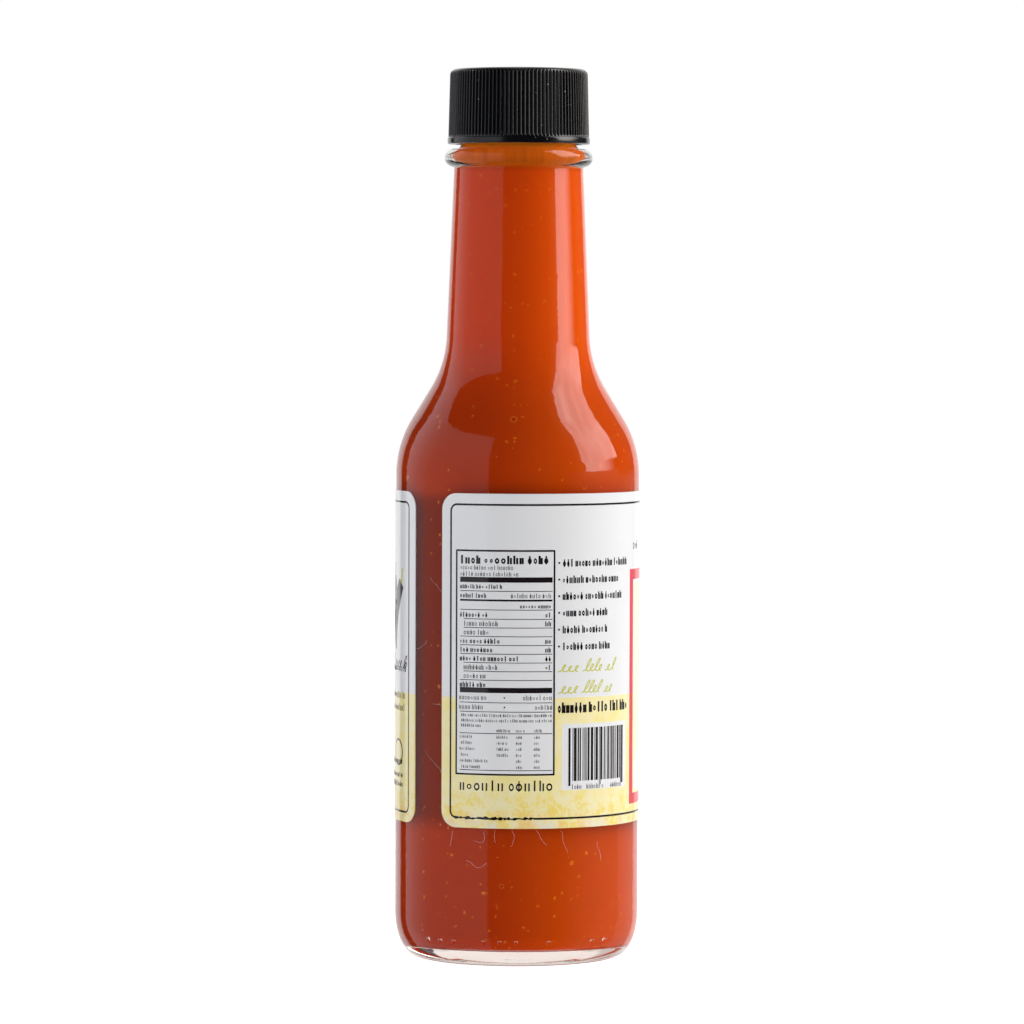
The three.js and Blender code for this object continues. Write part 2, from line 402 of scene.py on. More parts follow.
class Growth(Tree):
    """A Geometry Nodes tree with named inputs that ends in Realize Instances and Set Material."""

    def __init__(self, name, **inputs):
        super().__init__(bpy.data.node_groups.new(name, "GeometryNodeTree"))
        face = self.tree.interface
        face.new_socket("Geometry", in_out="OUTPUT", socket_type="NodeSocketGeometry")
        face.new_socket("Geometry", in_out="INPUT", socket_type="NodeSocketGeometry")
        for key, kind in {**inputs, "Finish": "Material"}.items():
            face.new_socket(key, in_out="INPUT", socket_type="NodeSocket" + kind)
        self.source = self.tree.nodes.new("NodeGroupInput")

    def given(self, name):
        return Wire(self.tree, self.source.outputs[name])

    def carried(self, *names):
        """Numbers that the points bring with them as attributes."""
        kind = "GeometryNodeInputNamedAttribute"
        return [self.node(kind, {"data_type": "FLOAT"}, {"Name": name}) for name in names]

    def copies(self, points, form, **sockets):
        """The form at each of the points."""
        sockets = {"Points": points, "Instance": form, **sockets}
        return self.node("GeometryNodeInstanceOnPoints", None, sockets)

    def finish(self, copies, weld=False):
        whole = self.node("GeometryNodeRealizeInstances", None, {0: copies})
        if weld:
            sockets = {0: whole, "Distance": 0.001 * MM}
            whole = self.node("GeometryNodeMergeByDistance", None, sockets)
        sockets = {0: whole, "Material": self.given("Finish")}
        dressed = self.node("GeometryNodeSetMaterial", None, sockets)
        end = self.tree.nodes.new("NodeGroupOutput")
        join(self.tree, end.inputs[0], dressed)

    def grow(self, thing, **values):
        """Runs the tree on an object and leaves the result as its plain mesh."""
        modifier = thing.modifiers.new(self.tree.name, "NODES")
        modifier.node_group = self.tree
        for item in self.tree.interface.items_tree:
            if item.in_out == "INPUT" and item.name in values:
                modifier[item.identifier] = values[item.name]
        return plain(thing)


# The glass is a little wavy, more so in the bead, whose lower half is painted browner: painted shade
# for the dark that its thick glass reflects and bends.
glass = Finish("bottle glass")
spot, *_, z = glass.spot()
waves = glass.noise(spot, 9.0, 1.0) * 0.7 + glass.noise(spot, 0.9, 1.0) * 0.55
waves = waves + z.ramp(150.5, 152.5) * glass.noise(spot, 1.8, 2.0) * 3
bead_painted_shade = (1 - z.ramp(155.2, 156.2)) * 0.3 + (1 - z.ramp(153.2, 154.6)) * 0.7
bead_painted_shade = bead_painted_shade * z.ramp(151.0, 152.3)
glass.set(
    Base_Color=glass.mix(bead_painted_shade, (0.965, 0.965, 0.96), (0.66, 0.6, 0.56)),
    Roughness=0.0,
    IOR=1.51,
    Transmission_Weight=1.0,
    Normal=glass.bump(waves, 0.02),
)
# Light for what is inside goes straight through the wall, as it does through thin clear glass, and so
# does a ray that has been mirrored inside the wall three times.
lamps = glass.path("Is Shadow Ray")
lamps = lamps.math("MAXIMUM", lamps, glass.path("Is Diffuse Ray"))
lamps = lamps.math("MAXIMUM", lamps, glass.path("Glossy Depth") > 2.5)
clear = glass.node("ShaderNodeBsdfTransparent", None, {"Color": (0.95, 0.96, 0.955)})
refracting = Wire(glass.tree, glass.shader.outputs[0])
glass.surface(glass.node("ShaderNodeMixShader", None, {0: lamps, 1: refracting, 2: clear}))

bottle_glass = turned("glass_bottle", filled(glass_outside() + glass_inside()[1:]), 160)

# Code dots and foot stipples. Small beads of the same glass, left by drilled hollows in the mould:
# a code on the heel of both mould halves, and a ring of stipples under the foot.

DOT_R = 0.55
DOT_Z = 4.8
DOT_SUNK = 0.2
DOT_SLOT = 7.8
DOT_CODE = [-6, -5, -4, -2, -1, 0, 2, 5, 6]
STIPPLES = 44
STIPPLE_R = 0.34

beading = Growth("Beads at points", Radius="Float")
ball = {"Segments": 16, "Rings": 10, "Radius": beading.given("Radius")}
bead = beading.node("GeometryNodeMeshUVSphere", None, ball)
beading.finish(beading.copies(beading.given("Geometry"), bead))


def beads_at(name, points, radius):
    thing = mesh_object(name, points, [])
    return beading.grow(thing, Radius=radius * MM, Finish=glass.material)


def fuse(thing, other):
    """Joins a second solid to the first, and removes the second."""
    modifier = thing.modifiers.new("fuse", "BOOLEAN")
    modifier.operation = "UNION"
    modifier.solver = "MANIFOLD"
    modifier.object = other
    plain(thing)
    bpy.data.objects.remove(other)


dot_r = heel_radius(DOT_Z) - DOT_SUNK * DOT_R
dot_points = [
    place(dot_r, half + slot * DOT_SLOT, DOT_Z) for half in (0, 180) for slot in DOT_CODE
]
stipple_points = [
    place(FOOT_OUTER_R - 0.1, 360 * k / STIPPLES, STIPPLE_R + 0.02) for k in range(STIPPLES)
]
fuse(bottle_glass, beads_at("code_dots", dot_points, DOT_R))
fuse(bottle_glass, beads_at("foot_stipples", stipple_points, STIPPLE_R))
settle(smooth(bottle_glass), glass, "clear_glass", "bottle_glass")

# Sauce. Thick, smooth, opaque orange-red purée with seed flecks and a few air bubbles held against
# the glass. It fills the bottle to inside the cap, and reaches just into the wall.

SAUCE_TOP_Z = 161.0
SAUCE_SINK = 0.15
SAUCE_TO_GLASS_IOR = 0.91

# Painted light: the sauce is painted redder on the left and more orange on the lit right side.
sauce = Finish("hot sauce")
spot, x, _, z = sauce.spot()
mottle = sauce.noise(spot, 14.0, 2.0)
side = x.ramp(-8.0, 12.0) * 0.85 + mottle * 0.15
body = sauce.mix(side, srgb(189, 54, 3), srgb(214, 77, 6))
# Painted glow: the neck is paler, for the light that passes through its thinner sauce.
neck = sauce.mix(side, srgb(220, 62, 4), srgb(230, 86, 6))
flesh = sauce.mix(z.ramp(100.0, 124.0), body, neck)
# Painted glow: amber in the bead and above, for light through the thin sauce there, made brighter
# against the shade under the cap.
flesh = sauce.mix(z.ramp(151.5, 156.0), flesh, srgb(255, 128, 24))
flesh = sauce.mix(z.ramp(155.5, 157.0), flesh, srgb(255, 166, 54))
# Painted shade: brown streaks in the bead, for the dark that its thick glass reflects and bends.
in_bead = z.ramp(152.8, 153.4) * (1 - z.ramp(155.0, 155.6))
bead_shade_streaks = sauce.noise(spot, 1.6, 2.0).ramp(0.4, 0.65) * in_bead
flesh = sauce.mix(bead_shade_streaks * 0.2, flesh, srgb(110, 50, 24))
# It is darker at the heights of the label, which keeps the light off it.
behind = z.ramp(25.0, 29.0) * (1 - z.ramp(88.0, 91.0))
flesh = sauce.mix(behind * 0.48, flesh, srgb(60, 8, 0))
bend = sauce.node("ShaderNodeTexNoise", None, {"Vector": spot, "Scale": 2.2}, 1)
bent = sauce.node("ShaderNodeVectorMath", {"operation": "ADD"}, {0: spot, 1: bend})
large = sauce.specks(bent, 2.7, 0.5, 0.6)
small = sauce.specks(bent, 1.5, 0.34, 0.6)
flecks = large.math("MAXIMUM", large * 0.75, small * 0.6) * (1 - 0.5 * z.ramp(90.0, 110.0))
flesh = sauce.mix(flecks, flesh, srgb(246, 142, 40))
BUBBLES = [
    ((-0.73, -17.6, 103.7), 0.72),
    ((0.0, -17.0, 106.0), 0.24),
    ((7.9, -16.4, 100.4), 0.34),
    ((-2.7, -21.2, 15.6), 0.5),
]
# Each bubble is painted light and shade: a lighter ring is a painted glint, and a dark middle is
# painted shade.
for centre, radius in BUBBLES:
    sockets = {0: spot, 1: centre}
    off = sauce.node("ShaderNodeVectorMath", {"operation": "DISTANCE"}, sockets, "Value") / radius
    bubble_glint = off.ramp(0.5, 0.75) * (1 - off.ramp(0.85, 1.1))
    flesh = sauce.mix(bubble_glint * 0.5, flesh, srgb(232, 122, 36))
    flesh = sauce.mix((1 - off.ramp(0.2, 0.5)) * 0.6, flesh, srgb(96, 24, 2))
sauce.set(
    Base_Color=flesh,
    Roughness=0.6,
    Specular_IOR_Level=0.0,
    Subsurface_Weight=0.3,
    Subsurface_Radius=(1.0, 0.3, 0.08),
    Subsurface_Scale=3 * MM,
)
# Sauce is thinner than glass to light, so at a low angle the glass mirrors instead of showing it.
skim = sauce.node("ShaderNodeFresnel", None, {"IOR": SAUCE_TO_GLASS_IOR})
mirror = sauce.node("ShaderNodeBsdfGlossy", None, {"Color": (1.0, 1.0, 1.0), "Roughness": 0.0})
pulp = Wire(sauce.tree, sauce.shader.outputs[0])
sauce.surface(sauce.node("ShaderNodeMixShader", None, {0: skim, 1: pulp, 2: mirror}))
hold = glass_inside(SAUCE_SINK)[::-1]
hold[-1] = [MOUTH_R + SAUCE_SINK, SAUCE_TOP_Z]
sauce_fill = smooth(turned("sauce_fill", filled(hold + [[0, SAUCE_TOP_Z]]), 120))
settle(sauce_fill, sauce, "hot_sauce", "sauce")

# Cap. Black polypropylene, moulded in one piece: a smooth lower band, a wall of fine rounded ribs
# that leans in a little, and a domed top with the stub of its moulding gate. The cap is one sector
# with one groove, repeated round the axis and welded.

CAP_BASE_Z = 156.8
CAP_TOP_Z = 171.3
CAP_DOME = 0.1
FLANGE_R = 13.72
FLANGE_H = 1.25
CAP_WALL_R = 13.57
CAP_DRAFT = 0.33
CAP_ROUND = 1.1
CAP_BORE_R = 12.3
LINER_Z = 169.45
RIBS = 108
GROOVE_DEEP = 0.36
GROOVE_HALF = 0.46
GROOVE_TOP_Z = 170.7
GROOVE_LOW_Z = 158.25
GATE_R = 0.6
GATE_H = 0.22

plastic = Finish("black plastic")
spot, *_ = plastic.spot()
grain = plastic.noise(spot, 0.25, 2.0)
dust = plastic.specks(spot, 1.1, 0.15, 0.2)
plastic.set(
    Base_Color=plastic.mix(dust * 0.8, srgb(4, 6, 10), srgb(190, 194, 200)),
    Roughness=0.15 + 0.06 * grain,
    Specular_IOR_Level=0.9,
    Normal=plastic.bump(grain, 0.004),
)


def cap_outline():
    """Points [radius, height] of the cap's outline, from the axis under the liner to the axis on top.
    """
    rim_z = CAP_TOP_Z - CAP_DOME
    top_r = CAP_WALL_R - CAP_DRAFT
    flange_z = CAP_BASE_Z + FLANGE_H
    inside = rounded(
        [
            [0, LINER_Z, 0],
            [CAP_BORE_R, LINER_Z, 0.3],
            [CAP_BORE_R, CAP_BASE_Z, 0.2],
            [FLANGE_R, CAP_BASE_Z, 0.25],
            [FLANGE_R, flange_z, 0.25],
            [CAP_WALL_R, flange_z, 0],
        ],
        step=18,
    )
    wall_z = list(np.linspace(flange_z, GROOVE_LOW_Z + 0.5, 6)[1:])
    wall_z += list(np.linspace(GROOVE_LOW_Z + 2, rim_z - CAP_ROUND - 0.1, 4))
    slope = CAP_DRAFT / (rim_z - flange_z)
    wall = [[CAP_WALL_R - slope * (h - flange_z), h] for h in wall_z]
    top = rounded(
        [
            wall[-1] + [0],
            [top_r, rim_z, CAP_ROUND],
            [0.6 * top_r, rim_z + 0.8 * CAP_DOME, 20],
            [0, CAP_TOP_Z, 0],
        ],
        step=6,
    )
    return inside + wall + top[1:]


def groove_depth(across, z):
    """How deep the groove is, across it in shares of a half pitch, and up its length."""
    end = min(1.0, max(0.0, (GROOVE_TOP_Z - z) / 0.5))
    foot = min(1.0, max(0.0, (z - GROOVE_LOW_Z) / 0.25))
    half = GROOVE_HALF * 2 * math.sqrt(1 - (1 - end) ** 2) * math.sqrt(1 - (1 - foot) ** 2)
    if abs(across) >= half or half <= 0:
        return 0.0
    return GROOVE_DEEP * (0.5 + 0.5 * math.cos(math.pi * across / half)) * min(1, half)


def cap_sector():
    pitch = 360 / RIBS
    columns = [k / 5 for k in range(-5, 6)]
    outline = cap_outline()
    vertices = [[0, 0, outline[0][1]], [0, 0, outline[-1][1]]]
    rows = []
    for r, z in outline[1:-1]:
        rows.append(len(vertices))
        for across in columns:
            on_wall = r > CAP_BORE_R + 0.6 and GROOVE_LOW_Z < z < GROOVE_TOP_Z
            sunk = groove_depth(across, z) if on_wall else 0
            vertices.append(place(r - sunk, across * pitch / 2, z))
    faces = []
    for k in range(len(columns) - 1):
        faces.append([0, rows[0] + k + 1, rows[0] + k])
        faces.append([1, rows[-1] + k, rows[-1] + k + 1])
        faces += [[a + k, a + k + 1, b + k + 1, b + k] for a, b in zip(rows, rows[1:])]
    return mesh_object("cap_body", vertices, faces)


ring = Growth("Sectors round an axis", Count="Int")
count = ring.given("Count")
stack = ring.node("GeometryNodeMeshLine", None, {"Count": count, "Offset": (0, 0, 0)})
turn = ring.node("GeometryNodeInputIndex") / count * (2 * math.pi)
around = ring.node("ShaderNodeCombineXYZ", None, {2: turn})
ring.finish(ring.copies(stack, ring.given("Geometry"), Rotation=around), weld=True)
cap = smooth(ring.grow(cap_sector(), Count=RIBS, Finish=plastic.material), 50)
settle(cap, plastic, "black_plastic", "cap")

gate_outline = [
    [0, CAP_TOP_Z - 0.3],
    [GATE_R, CAP_TOP_Z - 0.3],
    [0.85 * GATE_R, CAP_TOP_Z + 0.6 * GATE_H],
    [0.6 * GATE_R, CAP_TOP_Z + GATE_H - 0.04],
    [0, CAP_TOP_Z + 0.7 * GATE_H],
]
gate = smooth(turned("cap_gate_stub", gate_outline, 20))
settle(gate, plastic, "black_plastic")

# Label. One wrap label of glossy coated white paper, glued on, with rounded corners. Its lower part
# is washed with watercolour yellow.

LABEL_IN_R = 23.49
LABEL_R = 23.68
LABEL_LOW_Z = 26.7
LABEL_H = 63.5
LABEL_START = -37.1
LABEL_SPAN = 341.7
LABEL_CORNER = 3.2
WASH_TOP_Z = 51.5


def label_strip():
    length = math.radians(LABEL_SPAN) * LABEL_R
    corner = [LABEL_CORNER * (1 - math.cos(a)) for a in np.radians(np.linspace(0, 80, 9))]
    middle = list(np.linspace(LABEL_CORNER, length - LABEL_CORNER, 240))
    stations = corner + middle + [length - s for s in reversed(corner)]
    sides = range(4)
    vertices = []
    for s in stations:
        into = max(LABEL_CORNER - min(s, length - s), 0)
        cut = LABEL_CORNER - math.sqrt(LABEL_CORNER**2 - into**2)
        angle = LABEL_START + math.degrees(s / LABEL_R)
        low = LABEL_LOW_Z + cut
        high = LABEL_LOW_Z + LABEL_H - cut
        vertices += [
            place(LABEL_R, angle, low),
            place(LABEL_R, angle, high),
            place(LABEL_IN_R, angle, high),
            place(LABEL_IN_R, angle, low),
        ]
    faces = [[0, 1, 2, 3]]
    for column in range(len(stations) - 1):
        a = 4 * column
        faces += [[a + i, a + 4 + i, a + 4 + (i + 1) % 4, a + (i + 1) % 4] for i in sides]
    last = len(vertices) - 4
    faces.append([last + 3, last + 2, last + 1, last])
    return mesh_object("label_paper", vertices, faces)


paper = Finish("label paper")
spot, *_, z = paper.spot()
blot = paper.noise(spot, 2.2, 3.0)
fine = paper.noise(spot, 0.7, 2.0)
yellow = paper.mix(blot.ramp(0.35, 0.7), srgb(250, 241, 192), srgb(250, 237, 160))
low = (1 - z.ramp(30.0, 35.5)) * (fine * 0.5 + blot * 0.5).ramp(0.46, 0.6)
yellow = paper.mix(low * 0.7, yellow, srgb(250, 222, 98))
pink = (1 - z.ramp(27.5, 31.0)) * paper.noise(spot, 4.5, 2.0).ramp(0.45, 0.62)
yellow = paper.mix(pink * 0.55, yellow, srgb(250, 204, 150))
pale = (1 - z.ramp(26.7, 29.5)) * paper.noise(spot, 6.0, 2.0).ramp(0.5, 0.6)
yellow = paper.mix(pale * 0.6, yellow, srgb(238, 236, 225))
white = srgb(238, 240, 243)
coat = dict(Roughness=0.09, Specular_IOR_Level=1.0)
paper.set(
    Base_Color=paper.mix(z < WASH_TOP_Z, white, yellow),
    Normal=paper.bump(paper.noise(spot, 0.5, 2.0), 0.0015),
    **coat,
)
label = smooth(label_strip())
settle(label, paper, "label_paper", "label")

# Print. Inks on the paper: a border line, a ruled table, rows of small marks that say nothing, wavy
# strokes, bars, a red frame round a cream panel, two pairs of peppers and a round mark. Each is a
# skin of ink one to three hundredths of a millimetre thick.

INK = 0.012
WRAP_STEP = 0.9
U_PER_DEGREE = math.radians(1) * LABEL_R


def wrapped(name, polygons, finish, lift=0.0):
    """A thin skin on the label from flat polygons of points [angle in degrees, height]."""
    form = bmesh.new()
    for polygon in polygons:
        form.faces.new([form.verts.new((a * U_PER_DEGREE, 0, h)) for a, h in polygon])
    bmesh.ops.remove_doubles(form, verts=form.verts, dist=1e-4)
    reach = [v.co.x for v in form.verts]
    for k in range(math.ceil(min(reach) / WRAP_STEP), math.floor(max(reach) / WRAP_STEP) + 1):
        parts = list(form.verts) + list(form.edges) + list(form.faces)
        cut = (k * WRAP_STEP, 0, 0)
        bmesh.ops.bisect_plane(form, geom=parts, dist=1e-5, plane_co=cut, plane_no=(1, 0, 0))
    bmesh.ops.triangulate(form, faces=form.faces)
    grown = bmesh.ops.extrude_face_region(form, geom=list(form.faces))["geom"]
    for part in grown:
        if isinstance(part, bmesh.types.BMVert):
            part.co.y = -(INK + lift)
    for vert in form.verts:
        radius = LABEL_R - 0.004 - vert.co.y
        angle = vert.co.x / U_PER_DEGREE
        vert.co = [c * MM for c in place(radius, angle, vert.co.z)]
    bmesh.ops.recalc_face_normals(form, faces=form.faces)
    mesh = bpy.data.meshes.new(name)
    form.to_mesh(mesh)
    form.free()
    settle(smooth(linked(name, mesh)), finish, "label_paper")


def box(left, right, low, high):
    return [[left, low], [right, low], [right, high], [left, high]]


def ribbon(points, width, closed=False):
    """Quads along a path of [angle, height] points, of one width or of a width for each point."""
    flat = np.array([[a * U_PER_DEGREE, h] for a, h in points])
    count = len(flat)
    widths = np.broadcast_to(width, count)
    before = np.roll(flat, 1, axis=0)
    after = np.roll(flat, -1, axis=0)
    if not closed:
        before[0] = flat[0]
        after[-1] = flat[-1]
    along = after - before
    along /= np.linalg.norm(along, axis=1)[:, None]
    side = np.stack([-along[:, 1], along[:, 0]], axis=1) * widths[:, None] / 2
    left = flat + side
    right = flat - side
    scale = np.array([1 / U_PER_DEGREE, 1])
    quads = []
    for i in range(count if closed else count - 1):
        j = (i + 1) % count
        quads.append([list(p * scale) for p in (right[i], right[j], left[j], left[i])])
    return quads


draw = random.Random(11)


def frame_line(left, right, low, high, corner, width, ragged=None):
    """A line round a box with rounded corners, its lower edge brushed between ragged angles."""
    points = []
    turn = corner / U_PER_DEGREE
    centres = [(right - turn, high - corner), (left + turn, high - corner)]
    centres += [(left + turn, low + corner), (right - turn, low + corner)]
    for quarter, (a, h) in enumerate(centres):
        for k in range(7):
            way = math.radians(90 * quarter + 15 * k)
            points.append([a + turn * math.cos(way), h + corner * math.sin(way)])
    dense = []
    for p, q in zip(points, points[1:] + points[:1]):
        length = math.hypot((q[0] - p[0]) * U_PER_DEGREE, q[1] - p[1])
        dense += divided(p, q, max(1, math.ceil(length / 0.35)))
    widths = np.full(len(dense), width)
    if ragged:
        for i, (a, h) in enumerate(dense):
            if h < low + corner and ragged[0] < a < ragged[1]:
                widths[i] = width * draw.uniform(0.5, 1.8)
                dense[i][1] += draw.uniform(-0.1, 0.1)
    return ribbon(dense, widths, closed=True)


def ink(name, colour):
    return Finish(name).set(Base_Color=colour, **coat)


black_ink = ink("black ink", srgb(26, 20, 24))
white_ink = ink("white ink", white)
red_ink = ink("red ink", srgb(226, 62, 78))
cream_ink = ink("cream ink", srgb(250, 243, 205))
green_ink = ink("green ink", srgb(205, 208, 92))
grey_ink = ink("grey ink", srgb(72, 72, 78))

BORDER = [-32.1, 298.9, 28.6, 88.1]
BORDER_LINE = 0.37
THIN_LINE = 0.14
TABLE = [-29.0, 17.3, 36.95, 79.4]
ROWS_LEFT = -27.2
ROWS_RIGHT = 16.4
ROW_PITCH = 1.656
ROW_INSET = 1.9

wrapped("label_print_table_ground", [box(*TABLE)], white_ink)

rules = frame_line(*BORDER, 1.27, BORDER_LINE, (-30, 8))
rules += frame_line(*TABLE, 0.02, 0.34)


def rule(z, width, left=ROWS_LEFT, right=ROWS_RIGHT):
    return box(left, right, z - width / 2, z + width / 2)


rules += [rule(73.9, 1.0), rule(52.95, 1.0), rule(70.0, 0.36)]
rules += [rule(z, THIN_LINE) for z in (71.75, 68.2, 50.6, 48.85, 44.75, 37.75)]
for i in range(8):
    inset = ROW_INSET if i in (0, 1, 5, 6) else 0
    rules.append(rule(66.45 - ROW_PITCH * i, THIN_LINE, ROWS_LEFT + inset))
wrapped("label_print_rules", rules, black_ink, 0.006)

light_marks = {"bars": [], "rings": []}
bold_marks = {"bars": [], "rings": []}


def glyph(marks, a, base, tall, low, wide, weight):
    """One small meaningless mark on the base line: bars, a ring, or a ring with a bar through it."""
    width = wide / U_PER_DEGREE
    half = width / 2
    form = draw.choice(["bar", "ring", "ring", "pair", "pair", "pair", "eye", "seed"])
    if form == "bar":
        marks["bars"].append((a + half, base + tall / 2, weight, tall))
    if form in ("ring", "eye"):
        marks["rings"].append((a + half, base + low / 2, wide, low))
    if form == "seed":
        marks["rings"].append((a + half, base + low / 2, 0.8 * wide, 0.7 * low))
    if form == "eye":
        marks["bars"].append((a + half, base + tall / 2 - 0.05 * low, 0.8 * weight, tall))
    if form == "pair":
        high = draw.choice([tall, low])
        for share, h in ((0.2, high), (0.8, low)):
            marks["bars"].append((a + share * width, base + h / 2, weight, h))


def mark_row(left, right, z, size, weight, wide=None, bold=False):
    """A row of small marks in groups, between two angles, about a middle height."""
    wide = wide or 0.5 * size
    base = z - size / 2
    a = left
    while a < right - 0.6 * wide / U_PER_DEGREE:
        for _ in range(draw.randint(3, 7)):
            if a > right - 0.6 * wide / U_PER_DEGREE:
                break
            span = wide * draw.uniform(0.8, 1.1)
            glyph(bold_marks if bold else light_marks, a, base, size, 0.74 * size, span, weight)
            a += (span + 0.22 * wide + 0.3 * weight) / U_PER_DEGREE
        a += 0.55 * wide / U_PER_DEGREE


mark_row(ROWS_LEFT, 14.8, 77.7, 1.6, 0.4, 0.85, bold=True)
mark_row(ROWS_LEFT, -1.0, 76.2, 0.85, 0.11)
mark_row(ROWS_LEFT, 1.0, 75.0, 0.85, 0.11)
mark_row(ROWS_LEFT, -6.3, 72.6, 0.8, 0.17, bold=True)
mark_row(ROWS_LEFT, -14.5, 70.9, 0.9, 0.18, bold=True)
mark_row(-3.0, ROWS_RIGHT, 70.9, 0.9, 0.12)
mark_row(1.2, ROWS_RIGHT, 68.9, 0.8, 0.17, bold=True)
row_ends = [-13, -8.2, -11.9, -7.2, -11.5, 0.2, -8.5, -14.8, -15]
for i, end in enumerate(row_ends):
    inset = ROW_INSET if i in (1, 2, 6, 7) else 0
    row_z = 67.25 - ROW_PITCH * i
    mark_row(ROWS_LEFT + inset, end, row_z, 0.98, 0.15 if inset else 0.21, bold=not inset)
    if i in (0, 1, 3, 4, 5, 6):
        mark_row(13.0, ROWS_RIGHT, row_z, 0.95, 0.19, bold=True)
for row_z, end, start in ((51.55, -14.2, 2.8), (49.75, -15.2, 8.2)):
    mark_row(ROWS_LEFT - 0.3, end, row_z, 0.95, 0.12)
    mark_row(start, ROWS_RIGHT, row_z, 0.95, 0.12)
    light_marks["bars"].append((-5.7, row_z, 0.28, 0.28))
for row_z, end in ((48.2, ROWS_RIGHT), (47.2, ROWS_RIGHT), (46.25, -16.7)):
    mark_row(-26.5, end, row_z, 0.62, 0.1)
TINY_COLUMNS = [(-9.4, -2.8), (-0.4, 3.4), (7.9, 11.6)]
for start, end in TINY_COLUMNS:
    mark_row(start, end, 45.3, 0.6, 0.1)
for i, end in enumerate([-21, -21, -19, -22, -13, -17]):
    row_z = 44.1 - 1.14 * i
    mark_row(ROWS_LEFT + 0.7 * (i % 2), end, row_z, 0.62, 0.1)
    for start, end in TINY_COLUMNS if i < 4 else TINY_COLUMNS[1:]:
        mark_row(start, end - 1, row_z, 0.62, 0.1)
mark_row(ROWS_LEFT, 17.1, 34.85, 2.0, 0.3, 1.2)
RIGHT_COLUMN = [(77.1, 61.5), (73.95, 55.5), (70.8, 58.0)]
RIGHT_COLUMN += [(67.65, 46.6), (64.45, 47.2), (61.25, 48.3)]
for row_z, end in RIGHT_COLUMN:
    bold_marks["bars"].append((19.6, row_z, 0.36, 0.34))
    mark_row(21.4, end, row_z, 1.45, 0.27, 0.58, bold=True)
mark_row(19.2, 63.6, 49.6, 2.0, 0.4, 0.72, bold=True)
mark_row(69.5, 78, 80.0, 1.9, 0.3, 0.8)
for start, end in ((26, 31), (34, 44), (49, 57.5)):
    mark_row(start, end, 34.5, 0.95, 0.12)
LEFT_END = [(56.0, 296, 1.0), (51.0, 294, 1.4), (48.6, 294, 1.4)]
LEFT_END += [(38.2, 293, 1.1), (35.6, 293, 1.0), (33.8, 293, 1.0)]
for row_z, end, size in LEFT_END:
    mark_row(268, end, row_z, size, 0.17, bold=size > 1.2)

stroke_copies = Growth("Strokes on a round wall", Depth="Float")
turn, wide, high = stroke_copies.carried("turn", "wide", "high")
around = stroke_copies.node("ShaderNodeCombineXYZ", None, {2: turn})
depth = stroke_copies.given("Depth")
size = stroke_copies.node("ShaderNodeCombineXYZ", None, {0: wide, 1: depth, 2: high})
brick = stroke_copies.node("GeometryNodeMeshCube", None, {"Size": (1, 1, 1)})
points = stroke_copies.given("Geometry")
stroke_copies.finish(stroke_copies.copies(points, brick, Rotation=around, Scale=size))

ring_copies = Growth("Rings on a round wall", Depth="Float", Wall="Float")
turn, wide, high = ring_copies.carried("turn", "wide", "high")
around = ring_copies.node("ShaderNodeCombineXYZ", None, {2: turn})
wall = ring_copies.given("Wall")
depth = ring_copies.given("Depth") / (wall * 2)
size = ring_copies.node("ShaderNodeCombineXYZ", None, {0: wide, 1: depth, 2: high})
CIRCLE = "GeometryNodeCurvePrimitiveCircle"
loop = ring_copies.node(CIRCLE, None, {"Resolution": 14, "Radius": 0.5 - wall})
section = ring_copies.node(CIRCLE, None, {"Resolution": 6, "Radius": wall})
hoop = ring_copies.node("GeometryNodeCurveToMesh", None, {"Curve": loop, "Profile Curve": section})
lifted = {"Geometry": hoop, "Rotation": (math.pi / 2, 0, 0)}
upright = ring_copies.node("GeometryNodeTransform", None, lifted)
points = ring_copies.given("Geometry")
ring_copies.finish(ring_copies.copies(points, upright, Rotation=around, Scale=size))


def strokes(name, marks, finish, growth=stroke_copies, depth=0.05, **values):
    """Copies at (angle, height, width, height of the mark), half sunk in the paper."""
    lift = LABEL_R + 2 * INK - depth / 2
    thing = mesh_object(name, [place(lift, a, z) for a, z, *_ in marks], [])
    columns = {
        "turn": [math.radians(a) for a, *_ in marks],
        "wide": [w * MM for *_, w, _ in marks],
        "high": [h * MM for *_, h in marks],
    }
    for key, numbers in columns.items():
        thing.data.attributes.new(key, "FLOAT", "POINT").data.foreach_set("value", numbers)
    growth.grow(thing, Depth=depth * MM, Finish=finish.material, **values)
    settle(thing, finish, "label_paper")


for weight, marks, wall in (("light", light_marks, 0.12), ("bold", bold_marks, 0.19)):
    strokes(f"label_print_{weight}_bars", marks["bars"], black_ink)
    strokes(f"label_print_{weight}_rings", marks["rings"], black_ink, ring_copies, Wall=wall)

BAR_GROUND = [21.2, 61.4, 33.9, 46.5]
BARS_LEFT = 25.0
BARS_RIGHT = 58.5
BARS_TOP_Z = 45.7
BAR_UNIT = 0.146
bars = []
a = BARS_LEFT
while a < BARS_RIGHT:
    wide = BAR_UNIT * draw.choice([1, 1, 1, 2, 3])
    long_bar = a < 26.5 or a > 57.0 or 41.2 < a < 42.4
    foot = 34.7 if long_bar else 35.6
    bars.append((a, (foot + BARS_TOP_Z) / 2, wide, BARS_TOP_Z - foot))
    a += (wide + BAR_UNIT * draw.choice([1, 1, 1, 2])) / U_PER_DEGREE
wrapped("label_print_bar_ground", [box(*BAR_GROUND)], white_ink)
strokes("label_print_bars", bars, black_ink)


